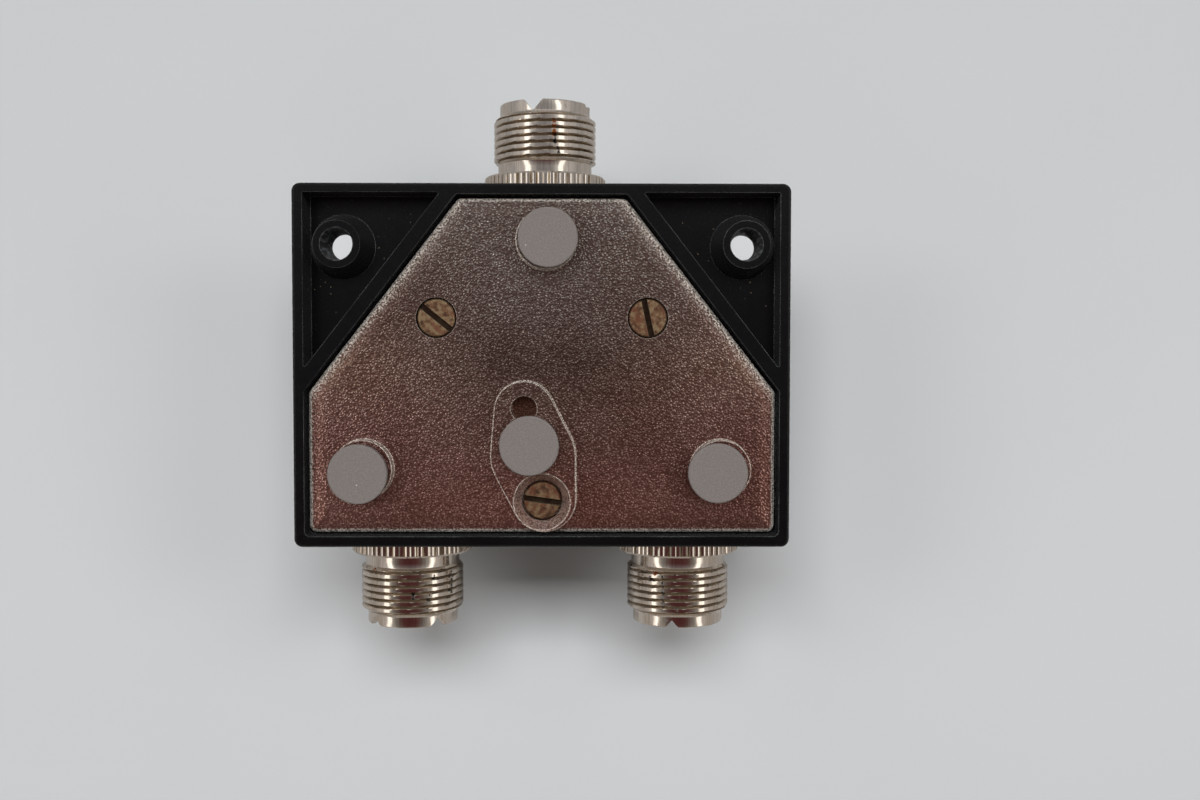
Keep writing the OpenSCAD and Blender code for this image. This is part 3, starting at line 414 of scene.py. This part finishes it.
def foamRubber():
    look = footLook
    material, shader = newMaterial("foam_rubber_grey", Roughness=look["roughness"])
    place = (addNode(material, "TexCoord"), "Object")
    cell = addNode(material, "TexNoise", {"Vector": place, "Scale": perMm(look["cell"]), "Detail": 3})
    tone = addNode(material, "ValToRGB", {"Fac": (cell, 0)},
                   ramp=[(0.35, look["dark"]), (0.6, look["colour"]), (0.75, look["pale"])])
    lint = addNode(material, "TexVoronoi", {"Vector": place, "Scale": perMm(look["lintCell"])})
    onLint = addNode(material, "Math", {0: (lint, "Distance"), 1: look["lintR"] / look["lintCell"]},
                     operation="LESS_THAN")
    linty = addNode(material, "Mix", {0: (onLint, 0), 6: (tone, 0), 7: look["lint"]}, data_type="RGBA")
    feed(material, shader, "Base Color", linty, 2)
    bump = addNode(material, "Bump", {"Height": (cell, 0), "Distance": look["cellDepth"] * mm,
                                      "Strength": 0.6})
    feed(material, shader, "Normal", bump)
    return material


# One recipe for the plainer finishes: a tone that drifts between two colours over a real
# grain size, with a bump of its own depth, all in millimetres, and slightly rounded edges
plainLook = {"edgeWidth": 0.12}


def grained(name, dark, pale, grain, depth, metallic, roughness, stretch=(1, 1, 1)):
    material, shader = newMaterial(name, Metallic=metallic)
    place = (addNode(material, "TexCoord"), "Object")
    spread = addNode(material, "Mapping", {"Vector": place, "Scale": list(stretch)})
    grains = addNode(material, "TexNoise", {"Vector": (spread, 0), "Scale": perMm(grain), "Detail": 4})
    tone = addNode(material, "ValToRGB", {"Fac": (grains, 0)}, ramp=[(0.35, dark), (0.65, pale)])
    feed(material, shader, "Base Color", tone)
    rough = addNode(material, "MapRange", {0: (grains, 0), 1: 0.3, 2: 0.7, 3: roughness + 0.08,
                                           4: roughness - 0.05})
    feed(material, shader, "Roughness", rough)
    rounded = addNode(material, "Bevel", {"Radius": plainLook["edgeWidth"] * mm}, samples=4)
    bump = addNode(material, "Bump", {"Height": (grains, 0), "Distance": depth * mm, "Strength": 0.6,
                                      "Normal": (rounded, 0)})
    feed(material, shader, "Normal", bump)
    return material


paint = satinPaint()
castCover = leatherCastNickel()
nickel = brightNickel()
screwBrass = agedBrass()
footRubber = foamRubber()
# moulded cream insulator: waxy, slightly mottled
insulator = grained("moulded_cream_insulator", "#D9CDB4", "#E9E1CF", 1.4, 0.006, 0.0, 0.38)
# silvered spring brass: pale yellow metal with rolling lines along the strip
springBrass = grained("rolled_spring_brass", "#A98B4C", "#D8BE82", 0.5, 0.006, 1.0, 0.3, (1, 0.15, 1))
# turned brass: yellow, clean
turnedBrass = grained("turned_brass", "#B08A3C", "#D9B566", 0.7, 0.005, 1.0, 0.25, (1, 1, 4))
# ground steel: cold grey with fine lines round the part
steel = grained("ground_steel", "#8E8D8A", "#C3C2BF", 0.4, 0.004, 1.0, 0.26, (1, 1, 5))
# blackened spring steel: oily black
darkSteel = grained("blackened_spring_steel", "#1C1B1A", "#3B3936", 0.5, 0.004, 1.0, 0.38)
# paper phenolic: brown, with the paper's fibres faintly showing
phenolic = grained("paper_phenolic", "#5A3318", "#7A4A26", 0.9, 0.008, 0.0, 0.35, (1, 0.3, 1))
# moulded phenolic knob: black with a polished skin
knobBlack = grained("moulded_black_phenolic", "#0C0C0D", "#151516", 1.2, 0.003, 0.0, 0.22)
# white filling of the pointer line: chalky
lineWhite = grained("white_line_filling", "#CFCBC0", "#EDEAE1", 0.3, 0.01, 0.0, 0.6)

dress(paint, "housing")
dress(castCover, "back_cover")
dress(screwBrass, "cover_screw_left", "cover_screw_right", "cover_screw_lower")
dress(nickel, "bush_nut", "common_jack_nut", "port_1_jack_nut", "port_2_jack_nut", "ground_plate")
dress(insulator, "common_jack_insulator", "port_1_jack_insulator", "port_2_jack_insulator")
dress(springBrass, "common_jack_contact", "port_1_jack_contact", "port_2_jack_contact", "common_strap",
      "port_1_fixed_contact", "port_2_fixed_contact", "live_arm")
dress(turnedBrass, "shaft_bush", "live_rivets", "knob_insert")
dress(steel, "detent_ball", "detent_spring", "stop_pins", "shaft", "thrust_washer", "index_plate",
      "rotor_screw")
dress(darkSteel, "shaft_clip", "knob_set_screw")
dress(phenolic, "rotor_disc")
dress(knobBlack, "knob")
dress(lineWhite, "pointer_line")
print("materials made")


def makePiece(name, points, faces, material, body, attributes=None, sharp=35):
    mesh = bpy.data.meshes.new(name)
    mesh.from_pydata([[c * mm for c in p] for p in points], [], faces)
    mesh.polygons.foreach_set("use_smooth", [True] * len(mesh.polygons))
    mesh.set_sharp_from_angle(angle=math.radians(sharp))
    for label, values in (attributes or {}).items():
        mesh.attributes.new(label, "FLOAT", "POINT").data.foreach_set("value", values)
    mesh.materials.append(material)
    piece = bpy.data.objects.new(name, mesh)
    bpy.context.scene.collection.objects.link(piece)
    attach(piece, body)
    return piece


def ringFaces(rows, columns, closed):
    faces = []
    for row in range(rows if closed else rows - 1):
        for column in range(columns):
            a, b = row * columns, (row + 1) % rows * columns
            nextColumn = (column + 1) % columns
            faces.append((a + column, a + nextColumn, b + nextColumn, b + column))
    return faces


# Jack shells: knurled flange, plain neck, real 24-to-the-inch thread, notched collar. Lengths
# run out of the box from its wall, in millimetres. knurled holds the lengths of the knurl's
# rings. lip and rim are (length back from the mouth, step in from the collar or out from the
# bore). notches holds each jack's depth and width. A mark is an angle round the jack, the
# lengths where it starts and ends, half its width and what it is
jack = {"wall": 26.7, "axisHeight": 16.25, "spacing": 42, "turns": (13.4, -10.8, 41.0),
        "flangeR": 9.5, "flange": 2.5, "flangeBevel": 0.35, "knurled": (0.22, 0.8, 1.6, 2.2),
        "ridges": 60, "ridgeDepth": 0.22, "neckR": 7.3, "neckRings": (3.5, 4.3), "neck": 4.4,
        "threadR": 7.9375, "pitch": 25.4 / 24, "threadDepth": 0.5, "thread": 11.8,
        "collarR": 7.0, "mouth": 13.7, "boreR": 6.0, "back": -6.5, "spigotR": 6.7,
        "lip": ((1.6, 0), (1.0, 0), (0.4, 0), (0.15, 0.03), (0.04, 0.14), (0, 0.3)),
        "rim": ((0, 0.25), (0.1, 0.05), (0.5, 0), (1.3, 0)), "boreRing": 2.1, "seed": 7,
        "notches": ((1.85, 3.1), (1.25, 2.1), (1.6, 2.7)), "columns": 480, "rowsPerTurn": 16,
        "marks": (((102, 8.2, 10.3, 0.5, "rust"), (103, 6.8, 8.2, 0.36, "stain"),
                   (107, 5.6, 5.9, 0.4, "stain")),
                  ((113, 0.7, 1.5, 0.3, "rust"), (120, 5.0, 5.6, 0.28, "rust"),
                   (126, 6.0, 6.5, 0.3, "stain"), (111, 5.6, 10.4, 0.2, "stain")),
                  ((82, 8.4, 9.0, 0.35, "stain"), (64, 8.4, 9.0, 0.3, "stain"),
                   (58, 5.2, 5.8, 0.3, "stain"), (34, 5.3, 9.1, 0.3, "stain"),
                   (131, 4.6, 5.2, 0.25, "rust")))}


def threadHeight(phase):      # 1 on the crest, 0 in the root
    away = abs((phase % 1) - 0.5) * 2
    return min(max((away - 0.05) / 0.4, 0), 1)


def turnBetween(angle, other):      # the smaller turn between two angles
    return abs((angle - other + math.pi) % (2 * math.pi) - math.pi)


def markStrength(mark, angle, out):      # 1 inside a mark, ragged at its rim
    middle, first, last, half = mark[:4]
    across = turnBetween(angle, math.radians(middle)) * jack["threadR"]
    along = max(first - out, out - last, 0)
    ragged = 0.45 + 1.5 * noise.noise(Vector((across * 2.2, out * 2.2, middle)))
    return min(max((half * ragged - math.hypot(across, along)) / 0.12 + 0.5, 0), 1)


def jackRows():      # each ring's length, radius and kind, from the box out to the mouth and back in
    j = jack
    rows = [(j["back"], j["spigotR"], "plain"), (0, j["spigotR"], "plain"),
            (0, j["flangeR"] - j["flangeBevel"], "plain")]
    rows += [(out, j["flangeR"], "knurl") for out in j["knurled"]]
    rows += [(j["flange"], j["flangeR"] - 0.38, "plain"), (j["flange"] + 0.02, j["neckR"] + 0.2, "plain"),
             (j["flange"] + 0.12, j["neckR"], "plain")]
    rows += [(out, j["neckR"], "plain") for out in j["neckRings"]]
    count = int((j["thread"] - j["neck"]) / j["pitch"] * j["rowsPerTurn"])
    step = (j["thread"] - j["neck"]) / count
    rows += [(j["neck"] + k * step, j["threadR"], "thread") for k in range(count + 1)]
    rows += [(j["thread"] + 0.06, j["collarR"] + 0.05, "plain"), (j["thread"] + 0.2, j["collarR"], "plain")]
    rows += [(j["mouth"] - back, j["collarR"] - inward, "collar") for back, inward in j["lip"]]
    rows += [(j["mouth"] - back, j["boreR"] + outward, "collar") for back, outward in j["rim"]]
    return rows + [(j["mouth"] - j["boreRing"], j["boreR"], "plain"), (j["back"], j["boreR"], "plain")]


def jackPoint(index, x, y, out):      # the common jack points one way, the two ports the other
    j = jack
    if index == 0:
        return (x, j["wall"] + out, j["axisHeight"] - y)
    side = -1 if index == 1 else 1
    return (side * j["spacing"] / 2 - x, -j["wall"] - out, j["axisHeight"] - y)


def notchedLength(index, angle, r, out):      # the collar's end is cut back in a V at four notches
    notchDepth, notchWidth = jack["notches"][index]
    for quarter in range(4):
        notch = math.radians(90 - jack["turns"][index] + 90 * quarter)
        off = turnBetween(angle, notch) * r
        if off < notchWidth / 2:
            out = min(out, jack["mouth"] - notchDepth * (1 - off / (notchWidth / 2)))
    return out


def threadRadius(height, out):      # the thread runs out into the neck and into the collar
    j = jack
    full = j["threadR"] - j["threadDepth"] * (1 - height)
    return min(full, j["neckR"] + 1.6 * (out - j["neck"]) + 0.02,
               j["collarR"] + 1.3 * (j["thread"] - out) + 0.1)


def makeJack(index, label):
    j = jack
    dice = random.Random(j["seed"] + index)
    ridgeWear = [dice.uniform(0.4, 1.0) for _ in range(j["ridges"])]
    ridgeShift = [dice.uniform(-0.16, 0.16) for _ in range(j["ridges"])]
    rows, points = jackRows(), []
    worn = {"root": [], "rust": [], "stain": []}
    perRidge = j["columns"] // j["ridges"]
    for out, radius, kind in rows:
        for column in range(j["columns"]):
            angle = 2 * math.pi * column / j["columns"]
            r, t, depth = radius, out, 0.0
            if kind == "knurl":
                ridge = column // perRidge
                across = min(abs(column % perRidge / perRidge - 0.5 - ridgeShift[ridge]) * 2, 1)
                r -= j["ridgeDepth"] * (1 - (1 - across * across) * ridgeWear[ridge])
                depth = 1.05 * across ** 2
            elif kind == "thread":
                height = threadHeight(out / j["pitch"] - angle / (2 * math.pi))
                r = threadRadius(height, out)
                depth = 1 - height
            elif kind == "collar":
                t = notchedLength(index, angle, r, out)
            points.append(jackPoint(index, r * math.cos(angle), r * math.sin(angle), t))
            worn["root"].append(depth)
            for wear in ("rust", "stain"):      # no marks beyond the thread
                marks = [m for m in j["marks"][index] if m[4] == wear and out < j["thread"]]
                worn[wear].append(max((markStrength(m, angle, out) for m in marks), default=0.0))
    faces = ringFaces(len(rows), j["columns"], True)
    piece = makePiece(label + "_barrel", points, faces, nickel, "box", worn, 28)
    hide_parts(label + "_shell")


for jackIndex, jackLabel in enumerate(("common_jack", "port_1_jack", "port_2_jack")):
    makeJack(jackIndex, jackLabel)
print("jacks cut")


# Stick-on feet: punched foam discs, edge a little crushed. The profile is (radius, height above
# the floor) in millimetres, from the middle of the lower face to the middle of the glued one.
# Beyond edgeR the disc is uneven by up to ragged, in lumps of the given size
pad = {"columns": 96, "ragged": 0.03, "lump": 1.6, "edgeR": 3,
       "profile": ((0.02, 0.035), (1.4, 0.035), (2.8, 0.03), (3.7, 0.02), (3.98, 0.005), (4.15, 0.0),
                   (4.28, 0.03), (4.36, 0.1), (4.4, 0.25), (4.4, 0.7), (4.38, 1.2), (0.02, 1.2)),
       "places": {"foot_upper": (-0.93, 18.67), "foot_middle": (1.82, -11.6),
                  "foot_left": (-25.75, -15.6), "foot_right": (26.8, -15.75)}}


def makeFoot(name, x, y):
    points = []
    for r, z in pad["profile"]:
        for column in range(pad["columns"]):
            angle = 2 * math.pi * column / pad["columns"]
            lump = Vector((x + pad["lump"] * math.cos(angle), y + pad["lump"] * math.sin(angle), 0))
            ragged = pad["ragged"] * noise.noise(lump) - 0.02
            radius = r + (ragged if r > pad["edgeR"] else 0)
            points.append((x + radius * math.cos(angle), y + radius * math.sin(angle), z))
    faces = ringFaces(len(pad["profile"]), pad["columns"], False)
    last = (len(pad["profile"]) - 1) * pad["columns"]
    faces.append(tuple(range(pad["columns"]))[::-1])
    faces.append(tuple(range(last, last + pad["columns"])))
    piece = makePiece(name + "_pad", points, faces, footRubber, "box", sharp=50)
    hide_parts(name)


for footName, (footX, footY) in pad["places"].items():
    makeFoot(footName, footX, footY)
print("feet made")


# Stage: the switch lies on its knob, so the pale table of the picture is above the knob, and
# a second floor under the feet serves every view from above. Each shows from one side only.
# The paper's tone drifts to the far one over driftY. The table seen through the two mounting
# holes glows, and so does the floor, which is large and stays pale far from the lamps; both
# glow for the camera alone
stage = {"paper": "#DCDEDF", "far": "#CCCFCF", "mirrored": "#B0ACA7", "glow": "#FFFFFF", "roughness": 0.75,
         "smear": 38, "driftY": (-75, 75), "tableZ": 44.6, "tableHalf": (160, 120), "floorHalf": (900, 900),
         "holes": ((38.6, 21.4), (-35.5, 21.4)), "holeR": 6.0, "holeGlow": 0.1, "floorGlow": 0.3}


def holePatches(material, place):      # the glow behind the two holes, soft at its rim
    glow = 0.0
    for spotX, spotY in stage["holes"]:
        patch = addNode(material, "MapRange", {0: howFar(material, place, (spotX, spotY, stage["tableZ"])),
                                               1: stage["holeR"] * mm, 2: stage["holeR"] * 0.7 * mm,
                                               3: 0.0, 4: stage["holeGlow"]})
        glow = (addNode(material, "Math", {0: (patch, 0), 1: glow}, operation="ADD"), 0)
    return glow


def oneSided(name, holed):
    material, shader = newMaterial(name, Roughness=stage["roughness"], Specular_IOR_Level=0.15)
    tree = material.node_tree
    place = (addNode(material, "TexCoord"), "Object")
    smear = addNode(material, "TexNoise", {"Vector": place, "Scale": perMm(stage["smear"]), "Detail": 4})
    across = addNode(material, "SeparateXYZ", {0: place})
    near, far = stage["driftY"]
    drift = addNode(material, "MapRange", {0: (across, 1), 1: near * mm, 2: far * mm, 3: 0.0, 4: 0.8})
    mixed = addNode(material, "Math", {0: (smear, 0), 1: 0.25, 2: (drift, 0)}, operation="MULTIPLY_ADD")
    tone = addNode(material, "Mix", {0: (mixed, 0), 6: stage["paper"], 7: stage["far"]}, data_type="RGBA")
    ray = addNode(material, "LightPath")
    shown = addNode(material, "Mix", {0: (ray, "Is Glossy Ray"), 6: (tone, 2), 7: stage["mirrored"]},
                    data_type="RGBA")
    feed(material, shader, "Base Color", shown, 2)
    if holed:
        glow = addNode(material, "Math", {0: holePatches(material, place), 1: (ray, "Is Camera Ray")},
                       operation="MULTIPLY")
    else:
        glow = addNode(material, "Math", {0: (ray, "Is Camera Ray"), 1: stage["floorGlow"]},
                       operation="MULTIPLY")
    shader.inputs["Emission Color"].default_value = toLinear(stage["glow"])
    feed(material, shader, "Emission Strength", glow)
    facing = addNode(material, "NewGeometry")
    clear = addNode(material, "BsdfTransparent")
    seen = addNode(material, "MixShader", {0: (facing, "Backfacing"), 1: (shader, 0), 2: (clear, 0)})
    tree.links.new(seen.outputs[0], tree.nodes["Material Output"].inputs["Surface"])
    return material


def makeStage(name, corners, material, mirrored):
    mesh = bpy.data.meshes.new(name)
    mesh.from_pydata([[c * mm for c in p] for p in corners], [], [(0, 1, 2, 3)])
    mesh.materials.append(material)
    plane = bpy.data.objects.new(name, mesh)
    bpy.context.scene.collection.objects.link(plane)
    plane.visible_shadow = plane.visible_diffuse = False
    plane.visible_glossy = mirrored


tableX, tableY = stage["tableHalf"]
floorX, floorY = stage["floorHalf"]
makeStage("table_under_knob", [(-tableX, -tableY, stage["tableZ"]), (-tableX, tableY, stage["tableZ"]),
                               (tableX, tableY, stage["tableZ"]), (tableX, -tableY, stage["tableZ"])],
          oneSided("pale_table", True), True)
makeStage("floor_under_feet", [(-floorX, -floorY, 0), (floorX, -floorY, 0), (floorX, floorY, 0),
                               (-floorX, floorY, 0)], oneSided("pale_floor", False), False)


# Lamps: place and the lengths of the two sides in millimetres, watts, tint and the way that the
# second side runs; all look at aim. The high window gives the short shadow below the box, two
# leaning strips give the twin lines along the jacks, and the front lamps light the knob's side
aim = (0, 0, 15)
lamps = {"window": {"place": (0, 368, -900), "size": (590, 255), "watts": 7.2, "tint": "#FBFCFF",
                    "second": (0, 1, 0)},
         "window_east": {"place": (756, 255, -900), "size": (380, 280), "watts": 1.3, "tint": "#FBFCFF",
                         "second": (0, 1, 0)},
         "window_west": {"place": (-756, 255, -900), "size": (380, 280), "watts": 1.3, "tint": "#FBFCFF",
                         "second": (0, 1, 0)},
         "strip_east": {"place": (216, -3, -186), "size": (58, 380), "watts": 0.1, "tint": "#FFF8F0",
                        "second": (-60, 184, -69)},
         "strip_west": {"place": (-216, -3, -186), "size": (58, 380), "watts": 0.1, "tint": "#FFF8F0",
                        "second": (60, 184, -69)},
         "front_left": {"place": (-300, -260, 330), "size": (260, 260), "watts": 1.3, "tint": "#FFFFFF",
                        "second": (0, 1, 0)},
         "front_right": {"place": (330, -150, 260), "size": (220, 220), "watts": 0.7, "tint": "#FFFFFF",
                         "second": (0, 1, 0)}}
for lampName, lamp in lamps.items():
    light = bpy.data.lights.new(lampName, "AREA")
    light.shape = "RECTANGLE"
    light.size, light.size_y = lamp["size"][0] * mm, lamp["size"][1] * mm
    light.energy = lamp["watts"]
    light.color = toLinear(lamp["tint"])[:3]
    lampObject = bpy.data.objects.new(lampName, light)
    spot = Vector(lamp["place"]) * mm
    back = (spot - Vector(aim) * mm).normalized()
    side = Vector(lamp["second"]).cross(back).normalized()
    turn = Matrix((side, back.cross(side), back)).transposed()
    lampObject.matrix_world = Matrix.Translation(spot) @ turn.to_4x4()
    lampObject.visible_glossy = not lampName.startswith("window")
    bpy.context.scene.collection.objects.link(lampObject)

# World: even pale light for matt surfaces. Mirrors see a dim red-brown room on the camera's
# side, greyer toward the window, and the pale table all round
room = {"even": "#4C4847", "camera": "#D0D2D3",
        "low": [(0.0, "#4B2526"), (0.035, "#563331"), (0.07, "#655450"), (0.11, "#7B7672"),
                (0.17, "#A39C94"), (0.325, "#BCB3AE"), (0.45, "#A59C94"), (1.0, "#A8A29C")],
        "high": [(0.0, "#8E8A8B"), (0.03, "#9F9C9B"), (0.065, "#C2C0BD"), (0.18, "#CCC7C5"),
                 (0.25, "#C8C2BE"), (0.335, "#BDB9B6"), (0.45, "#A3A1A0"), (1.0, "#A8A6A4")]}
world = bpy.data.worlds.new("pale_room")
bpy.context.scene.world = world
world.use_nodes = True
roomShader = world.node_tree.nodes["Background"]
direction = addNode(world, "TexCoord")
split = addNode(world, "SeparateXYZ", {0: (direction, "Generated")})
height = addNode(world, "MapRange", {0: (split, 2), 1: -1.0, 2: 1.0})
low = addNode(world, "ValToRGB", {"Fac": (height, 0)}, ramp=room["low"])
high = addNode(world, "ValToRGB", {"Fac": (height, 0)}, ramp=room["high"])
upward = addNode(world, "MapRange", {0: (split, 1), 1: -0.12, 2: 0.18})
mirrored = addNode(world, "Mix", {0: (upward, 0), 6: (low, 0), 7: (high, 0)}, data_type="RGBA")
path = addNode(world, "LightPath")
plain = addNode(world, "Mix", {0: (path, "Is Camera Ray"), 6: room["even"], 7: room["camera"]},
                data_type="RGBA")
seen = addNode(world, "Mix", {0: (path, "Is Glossy Ray"), 6: (plain, 2), 7: (mirrored, 2)}, data_type="RGBA")
feed(world, roomShader, "Color", seen, 2)
roomShader.inputs["Strength"].default_value = 1.0

# Camera at the photograph's place, fitted to the box's corners and the jacks. It looks along
# +z onto the back, with y up in the picture. place is in millimetres, tilt in radians
shot = {"lens": 37.23, "sensor": 36, "clip": (0.01, 10), "place": (-6.692, 2.233, -179.978),
        "tilt": (0.03949, 0.01007, -0.00106)}
camera = bpy.data.cameras.new("camera")
camera.lens, camera.sensor_width = shot["lens"], shot["sensor"]
camera.clip_start, camera.clip_end = shot["clip"]
cameraObject = bpy.data.objects.new("camera", camera)
tiltX, tiltY, tiltZ = shot["tilt"]
turn = Matrix.Rotation(tiltZ, 3, "Z") @ Matrix.Rotation(tiltX, 3, "X") @ Matrix.Rotation(tiltY, 3, "Y")
turn = (turn @ Matrix(((-1, 0, 0), (0, 1, 0), (0, 0, -1)))).transposed()
cameraObject.matrix_world = Matrix.Translation(Vector(shot["place"]) * mm) @ turn.to_4x4()
bpy.context.scene.collection.objects.link(cameraObject)
bpy.context.scene.camera = cameraObject
bpy.context.scene.view_settings.view_transform = "Standard"
print("stage, lamps and camera set")
